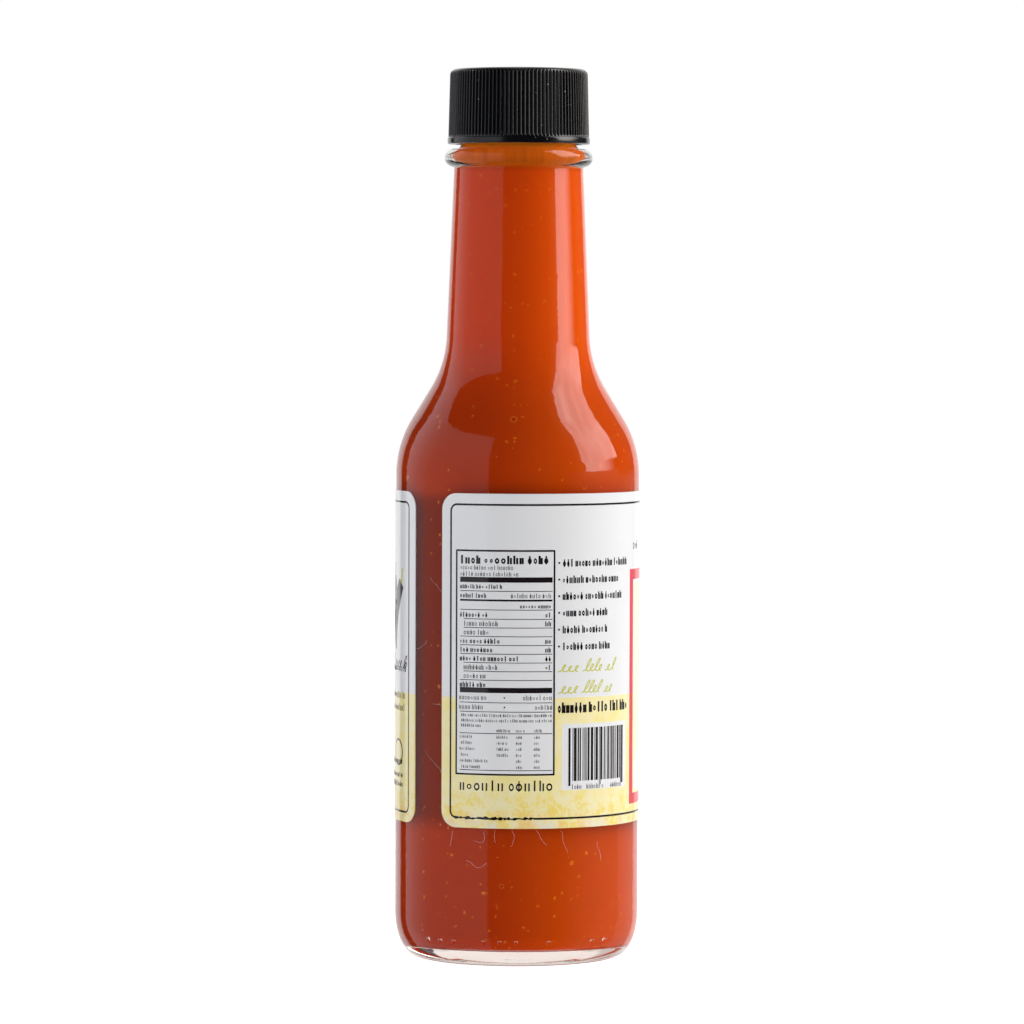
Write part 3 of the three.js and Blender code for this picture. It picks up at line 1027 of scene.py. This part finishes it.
def scrawl(left, right, z, size, line=0.24):
    """A wavy pen line with uneven loops and gaps."""
    quads = []
    a = left
    while a < right - 3:
        stop = min(a + draw.uniform(8, 13), right)
        loops = max(2, round((stop - a) * U_PER_DEGREE / (0.62 * size)))
        reach = [draw.choice([0.55, 0.6, 0.7, 1.25]) for _ in range(loops + 1)]
        points = []
        for k in range(loops * 14 + 1):
            t = k / 14
            phase = 2 * math.pi * t
            tall = reach[int(t)] * size
            lean = 0.3 * tall * (1 - math.cos(phase)) + 0.26 * size * math.sin(phase)
            along = a + (stop - a) * t / loops + lean / U_PER_DEGREE
            points.append([along, z - 0.4 * size + tall * 0.5 * (1 - math.cos(phase))])
        quads += ribbon(points, line)
        a = stop + 2.6
    return quads


pen_lines = scrawl(19.2, 51.0, 57.2, 1.9) + scrawl(19.2, 49.0, 53.1, 1.9)
wrapped("label_print_pen_lines", pen_lines, green_ink)
wrapped("label_print_signature", scrawl(267, 296, 57.0, 1.9), black_ink)

FRAME_BOX = [65.6, 168.4, 30.25, 75.35]
FRAME_BAR = 2.0
BAR_TURN = 4.2
PANEL_GAP_TURN = 1.2
PANEL_GAP = 0.5
HILL_IN = 0.2
left, right, low, high = FRAME_BOX
frame_bars = [
    box(left, right, high - FRAME_BAR, high),
    box(left, right, low, low + FRAME_BAR),
    box(left, left + BAR_TURN, low + FRAME_BAR, high - FRAME_BAR),
    box(right - BAR_TURN, right, low + FRAME_BAR, high - FRAME_BAR),
]
wrapped("label_print_red_frame", frame_bars, red_ink)
left += BAR_TURN + PANEL_GAP_TURN
right -= BAR_TURN + PANEL_GAP_TURN
low += FRAME_BAR + PANEL_GAP
high -= FRAME_BAR + PANEL_GAP
wrapped("label_print_cream_panel", [box(left, right, low, high)], cream_ink)
left += HILL_IN
right -= HILL_IN
swell = [[left, low + HILL_IN], [right, low + HILL_IN]]
for k in range(25):
    t = k / 24
    swell.append([right + (left - right) * t, low + 5 + 9 * math.sin(math.pi * t)])
wrapped("label_print_white_hill", [swell], white_ink, 0.008)


def pepper(tip, end, sag, width):
    """A curved pepper from its tip to its stem end, and a curved stem."""
    points = []
    widths = []
    for k in range(17):
        t = k / 16
        a = tip[0] + (end[0] - tip[0]) * t + sag * math.sin(math.pi * t)
        points.append([a, tip[1] + (end[1] - tip[1]) * t])
        widths.append(0.15 + width * math.sin(math.pi * min(1, 0.04 + 0.72 * t)) ** 0.8)
    stem = [[end[0] + 1.5 * math.sin(0.3 * k), end[1] + 0.55 * k] for k in range(6)]
    return ribbon(points, widths), ribbon(stem, [0.9, 0.6, 0.5, 0.45, 0.5, 0.7])


pods = []
stems = []
for shape in (
    ((281, 59.6), (290, 72.5), -5, 3.6),
    ((272, 60.5), (277, 73.5), 4, 3.4),
    ((113, 50), (122, 66), -6, 4.4),
    ((125, 51.5), (112, 67), 5, 4.0),
):
    pod, stem = pepper(*shape)
    pods += pod
    stems += stem
wrapped("label_print_peppers", pods, grey_ink, 0.01)
wrapped("label_print_pepper_stems", stems, green_ink, 0.016)
turns = [k * math.pi / 18 for k in range(36)]
seal = [[286 + 6 * math.cos(turn), 39.9 + 2.45 * math.sin(turn)] for turn in turns]
wrapped("label_print_round_mark", ribbon(seal, 0.4, closed=True), black_ink)

# Lint. A few fine white fibres that cling to the glass below the label and in its gap. Each is a thin
# round thread along a curved path.

LINT_R = 0.014
LINT_STEP = 0.22
LINT_STARTS = [(-31, 26.0), (-15, 26.2), (-10, 26.4), (-2, 26.3), (9, 26.4), (21, 26.2)]
LINT_STARTS += [(41, 23.8), (-24, 20.5), (-47, 62.0), (-48, 41.0), (-45, 74.0), (-43, 50.0)]

lint = Finish("lint")
lint.set(Base_Color=(0.85, 0.85, 0.85), Roughness=0.9)
spinning = Growth("Threads along edges", Radius="Float")
path = spinning.node("GeometryNodeMeshToCurve", None, {0: spinning.given("Geometry")})
section = spinning.node(CIRCLE, None, {"Resolution": 6, "Radius": spinning.given("Radius")})
tube = {"Curve": path, "Profile Curve": section, "Fill Caps": True}
spinning.finish(spinning.node("GeometryNodeCurveToMesh", None, tube))
fibre_points = []
fibre_edges = []
for angle, height in LINT_STARTS:
    heading = draw.uniform(1.2, 1.9) * math.pi
    for k in range(draw.randint(12, 30)):
        if k:
            fibre_edges.append([len(fibre_points) - 1, len(fibre_points)])
        fibre_points.append(place(BODY_R + LINT_R, angle, height))
        angle += LINT_STEP * math.cos(heading) / math.radians(BODY_R)
        height += LINT_STEP * math.sin(heading)
        heading += draw.uniform(-0.4, 0.4)
fibres = mesh_object("lint_fibres", fibre_points, [], fibre_edges)
fibres = smooth(spinning.grow(fibres, Radius=LINT_R * MM, Finish=lint.material), 60)
settle(fibres, lint, "label_paper")

# Studio. A plain white floor, a large dim board on the left, a tall window on the right with two
# boards beside and below it, and a white sweep behind. The boards light the bottle and mirror in it,
# but the camera doesn't see them.

BOARD_DISTANCE = 1.0
BOARD_LOW = -1.5
BOARD_STEPS = 24
UNDER_STRENGTH = 0.9


class Glow(Tree):
    """A material that only emits, with one strength for mirrors and one for the light it throws."""

    def __init__(self, name):
        self.material = bpy.data.materials.new(name)
        self.material.use_nodes = True
        super().__init__(self.material.node_tree)
        self.tree.nodes.clear()

    def spot(self):
        """The azimuth in degrees, from the front towards +X, and the height in metres."""
        parts = self.tree.nodes.new("ShaderNodeSeparateXYZ")
        join(self.tree, parts.inputs[0], self.node("ShaderNodeTexCoord", output="Object"))
        x, y, z = (Wire(self.tree, s) for s in parts.outputs)
        return x.math("ARCTAN2", x, y * -1) * (180 / math.pi), z

    def blur(self, around, height):
        """Soft noise over the board, stretched upright."""
        plane = self.node("ShaderNodeCombineXYZ", None, {0: around / 9, 1: height * 2.5})
        return self.node("ShaderNodeTexNoise", None, {"Vector": plane, "Scale": 1.0, "Detail": 2.0})

    def shine(self, mirrored, lit, colour=(1.0, 1.0, 1.0)):
        """A ray inside glass sees the part below the floor at a strength of its own."""
        glossy = self.path("Is Glossy Ray")
        under = (self.spot()[1] < 0) * (self.path("Transmission Depth") > 0.5)
        mirrored = mirrored * (1 - under) + under * UNDER_STRENGTH
        strength = glossy * mirrored + (1 - glossy) * lit
        lamp = self.node("ShaderNodeEmission", None, {"Color": colour, "Strength": strength})
        end = self.tree.nodes.new("ShaderNodeOutputMaterial")
        join(self.tree, end.inputs[0], lamp)
        return self.material


def board(name, near, far, low, high, material):
    """A curved board round the bottle, between two angles and two heights in metres."""
    vertices = []
    for k in range(BOARD_STEPS + 1):
        angle = near + (far - near) * k / BOARD_STEPS
        vertices += [place(BOARD_DISTANCE / MM, angle, h / MM) for h in (low, high)]
    faces = [[2 * k, 2 * k + 1, 2 * k + 3, 2 * k + 2] for k in range(BOARD_STEPS)]
    thing = mesh_object(name, vertices, faces)
    thing.data.materials.append(material)
    thing.visible_camera = False
    thing.visible_shadow = False


left_glow = Glow("left board")
around, height = left_glow.spot()
rise = 0.5 + (around * -1).ramp(85.0, 126.0) * 0.45
rise = rise * (0.8 + 0.32 * height.ramp(-0.05, 0.6))
left_shine = left_glow.shine(rise, 0.78, (0.95, 0.95, 1.0))
board("left_board", -27, -129, BOARD_LOW, 0.95, left_shine)

window_glow = Glow("right window")
around, height = window_glow.spot()
low_part = 1 - height.ramp(0.26, 0.3)
fade = 1 - around.ramp(84.0, 108.0) * low_part
near_edge = 63 + 3.5 * low_part
window = around.ramp(near_edge, near_edge + 1.5) * fade
window = window * (1 + (window_glow.blur(around, height) - 0.5) * (1 - low_part) * 1.1)
window_shine = window_glow.shine(window * 3.9, window * 3.5, (1.0, 0.95, 0.9))
board("right_window", 62.5, 111, 0.15, 1.8, window_shine)

fill_glow = Glow("right fill")
_, height = fill_glow.spot()
fill_shine = fill_glow.shine(0.45 - height.ramp(0.0, 0.12) * 0.4, 1.9)
board("right_fill", 111, 145, BOARD_LOW, 1.6, fill_shine)

low_glow = Glow("right low board")
around, _ = low_glow.spot()
low_shine = low_glow.shine(around.ramp(32.0, 88.0) * 0.25, 0.5)
board("right_low_board", 30, 111, BOARD_LOW, 0.15, low_shine)

FLOOR_HALF = 6000
floor_finish = Finish("floor")
floor_finish.set(Base_Color=(0.9, 0.9, 0.9), Roughness=0.8, Specular_IOR_Level=0.0)
in_glass = floor_finish.path("Transmission Depth") > 0.5
seen = 0.5 + floor_finish.path("Is Camera Ray") * 0.4 - in_glass * 0.25
glow = {"Color": (1.0, 1.0, 1.0), "Strength": seen}
shine = floor_finish.node("ShaderNodeEmission", None, glow)
matt = Wire(floor_finish.tree, floor_finish.shader.outputs[0])
floor_finish.surface(floor_finish.node("ShaderNodeAddShader", None, {0: matt, 1: shine}))
corners = [(-1, -1), (1, -1), (1, 1), (-1, 1)]
floor_points = [[a * FLOOR_HALF, b * FLOOR_HALF, 0] for a, b in corners]
floor = mesh_object("floor", floor_points, [[0, 1, 2, 3]])
floor.data.materials.append(floor_finish.material)
floor.visible_glossy = False

# The world is white to the camera, and dim but for the sweep to a mirror. Through the glass the
# sweep is brightest and the light is warmer, and all other rays see an even dome.
world = bpy.data.worlds.new("studio")
bpy.context.scene.world = world
world.use_nodes = True
world.node_tree.nodes.clear()
sky = Tree(world.node_tree)

SWEEP_MIDDLE = 180.0
SWEEP_HALF = 36.0
SWEEP_SOFT = 0.03
DOME = 0.22

way = sky.node("ShaderNodeTexCoord", output="Generated")
flat = sky.node("ShaderNodeVectorMath", {"operation": "MULTIPLY"}, {0: way, 1: (1, 1, 0)})
flat = sky.node("ShaderNodeVectorMath", {"operation": "NORMALIZE"}, {0: flat})
towards = place(1, SWEEP_MIDDLE, 0)
both = {0: flat, 1: towards}
facing = sky.node("ShaderNodeVectorMath", {"operation": "DOT_PRODUCT"}, both, "Value")
edge = math.cos(math.radians(SWEEP_HALF))
sweep = facing.ramp(edge - SWEEP_SOFT, edge + SWEEP_SOFT)
camera_ray = sky.path("Is Camera Ray")
in_glass = sky.path("Transmission Depth") > 0.5
glossy_ray = sky.path("Is Glossy Ray") * (1 - in_glass)
diffuse_ray = sky.path("Is Diffuse Ray")
through_ray = in_glass * (1 - diffuse_ray)
other_ray = 1 - glossy_ray.math("MAXIMUM", glossy_ray, through_ray)
drop = sky.node("ShaderNodeSeparateXYZ", None, {0: way}, 2) * -1
down = drop > 0
mirrored = glossy_ray * (sweep * (1 - drop.ramp(0.35, 0.6) * 0.9) * 0.97 + 0.02)
front = (facing * -1).ramp(0.6, 0.9) * (1 - down)
refracted = through_ray * (sweep * 0.35 + 0.65) * (1 - down * 0.22) * (1 - front * 0.3)
strength = camera_ray + (1 - camera_ray) * (mirrored + refracted + other_ray * DOME)
tint = sky.mix(through_ray, (1.0, 1.0, 1.0), (1.0, 0.9, 0.84))
light = sky.node("ShaderNodeBackground", None, {"Color": tint, "Strength": strength})
sky_end = sky.tree.nodes.new("ShaderNodeOutputWorld")
join(sky.tree, sky_end.inputs[0], light)

# Camera. It stands a metre away, level with the foot of the neck, and looks slightly down.

CAMERA_DISTANCE = 1.0638
CAMERA_H = 0.1272
FOCAL_PX = 5507
PICTURE_PX = 1024
SENSOR_MM = 36.0
AXIS_PX = 517.5
LEVEL_PX = 298
PITCH = math.atan((PICTURE_PX / 2 - LEVEL_PX) / FOCAL_PX)
ROLL = math.radians(0.19)

lens = bpy.data.cameras.new("camera")
lens.sensor_width = SENSOR_MM
lens.lens = FOCAL_PX / PICTURE_PX * SENSOR_MM
camera = linked("camera", lens)
yaw = math.atan((AXIS_PX - PICTURE_PX / 2) / FOCAL_PX)
tilt = Matrix.Rotation(math.pi / 2 - PITCH, 4, "X") @ Matrix.Rotation(ROLL, 4, "Z")
stand = Matrix.Translation((0, -CAMERA_DISTANCE, CAMERA_H))
camera.matrix_world = stand @ Matrix.Rotation(yaw, 4, "Z") @ tilt
bpy.context.scene.camera = camera
bpy.context.scene.view_settings.view_transform = "Standard"
